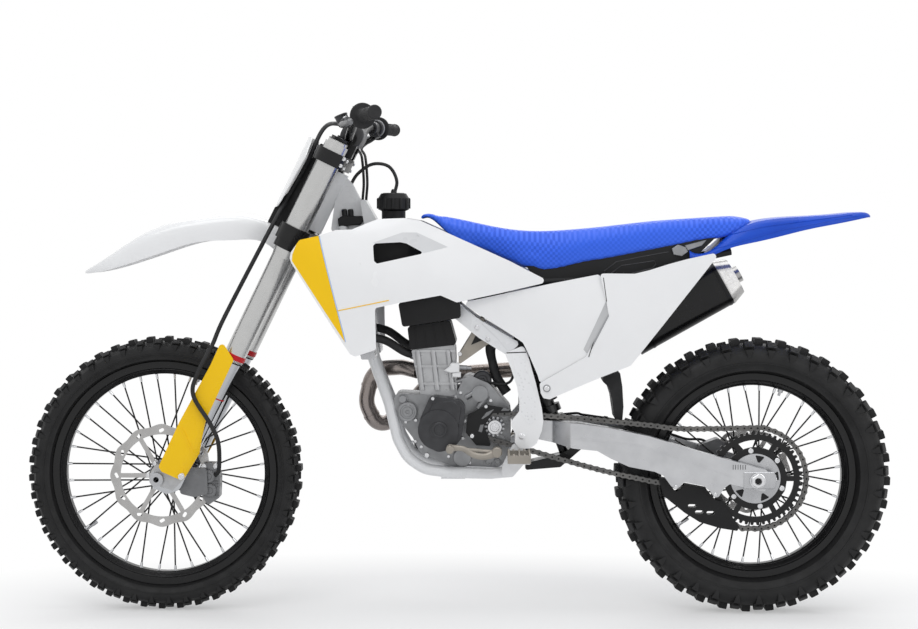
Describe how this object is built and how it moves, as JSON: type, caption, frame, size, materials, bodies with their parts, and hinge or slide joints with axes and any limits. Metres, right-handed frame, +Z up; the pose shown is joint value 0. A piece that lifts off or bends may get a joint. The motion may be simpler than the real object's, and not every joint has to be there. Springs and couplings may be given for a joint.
{
  "type": "motocross motorcycle",
  "caption": "Off-road competition motorcycle with a long flat seat, high fenders, side shrouds, spoked wheels, a chain drive, turning steering and folding footpegs.",
  "frame": {"origin": "top of the seat where the rider sits, on the bike's centre plane", "axes": "+X forward, +Y to the rider's left, +Z up"},
  "size_m": [2.18, 0.8214, 1.2651],
  "materials": {
    "white_plastic": "gloss",
    "yellow_plastic": "gloss",
    "blue_plastic": "satin",
    "blue_cover": "textured",
    "frame_white": "gloss",
    "black_metal": "satin",
    "silver_metal": "satin",
    "cast_silver": "cast",
    "dark_cast": "satin",
    "black_plastic": "matte",
    "black_rubber": "matte",
    "dark_control": "satin",
    "steel": "brushed",
    "black_steel": "satin",
    "fork_alloy": "satin",
    "fork_chrome": "polished",
    "tyre_rubber": "matte"
  },
  "bodies": {
    "chassis": {"main_frame": "frame_white", "frame_guards": "white_plastic", "subframe": "black_plastic", "airbox": "black_plastic", "crankcase": "cast_silver", "cylinder": "cast_silver", "head_cover": "black_plastic", "ignition_cover": "dark_cast", "engine_stay": "black_metal", "drive_sprocket": "silver_metal", "sprocket_guard": "black_plastic", "foot_levers": "silver_metal", "exhaust_pipe": "steel", "silencer": "black_steel", "radiators": "silver_metal", "engine_hoses": "black_rubber", "fuel_tank": "black_plastic", "filler_cap": "black_plastic", "radiator_shrouds": "white_plastic", "tank_covers": "black_plastic", "seat": "blue_cover", "side_covers": "white_plastic", "side_panels": "white_plastic", "rear_fender": "blue_plastic", "mud_flap": "black_rubber", "swingarm": "silver_metal", "chain_guide": "black_plastic", "chain": "steel", "shock_absorber": "black_steel", "rear_axle": "silver_metal", "rear_caliper": "dark_control", "throttle_cables": "black_rubber"},
    "steering": {"triple_clamps": "black_metal", "fork_outer_tubes": "fork_alloy", "fork_inner_tubes": "fork_chrome", "fork_guards": "yellow_plastic", "front_axle": "silver_metal", "front_fender": "white_plastic", "number_plate": "white_plastic", "plate_mount": "black_plastic", "handlebar": "black_metal", "bar_pad": "black_rubber", "grips": "black_rubber", "clutch_control": "dark_control", "brake_control": "dark_control", "front_caliper": "dark_control", "front_brake_hose": "black_rubber"},
    "front_wheel": {"front_tyre": "tyre_rubber", "front_wheel_rim": "black_metal", "front_hub": "silver_metal", "front_disc": "steel"},
    "rear_wheel": {"rear_tyre": "tyre_rubber", "rear_wheel_rim": "black_metal", "rear_hub": "silver_metal", "rear_sprocket": "black_metal", "rear_disc": "steel"},
    "left_peg": {"left_footpeg": "silver_metal"},
    "right_peg": {"right_footpeg": "silver_metal"}
  },
  "joints": [
    {"name": "steering_turn", "type": "hinge", "parent": "chassis", "child": "steering", "pos_m": [0.54717, 0, 0.08303], "axis": [-0.4399, 0, 0.898], "range_deg": [-42, 42], "deforming": ["throttle_cables"]},
    {"name": "front_wheel_spin", "type": "hinge", "parent": "steering", "child": "front_wheel", "pos_m": [0.953, 0, -0.609], "axis": [0, 1, 0], "continuous": true},
    {"name": "rear_wheel_spin", "type": "hinge", "parent": "chassis", "child": "rear_wheel", "pos_m": [-0.532, 0, -0.61], "axis": [0, 1, 0], "continuous": true},
    {"name": "left_peg_fold", "type": "hinge", "parent": "chassis", "child": "left_peg", "pos_m": [0.057, 0.122, -0.553], "axis": [1, 0, 0], "range_deg": [0, 55], "stiffness_Nm_per_rad": 0.6, "springref_deg": -22.92},
    {"name": "right_peg_fold", "type": "hinge", "parent": "chassis", "child": "right_peg", "pos_m": [0.057, -0.122, -0.553], "axis": [-1, 0, 0], "range_deg": [0, 55], "stiffness_Nm_per_rad": 0.6, "springref_deg": -22.92}
  ]
}
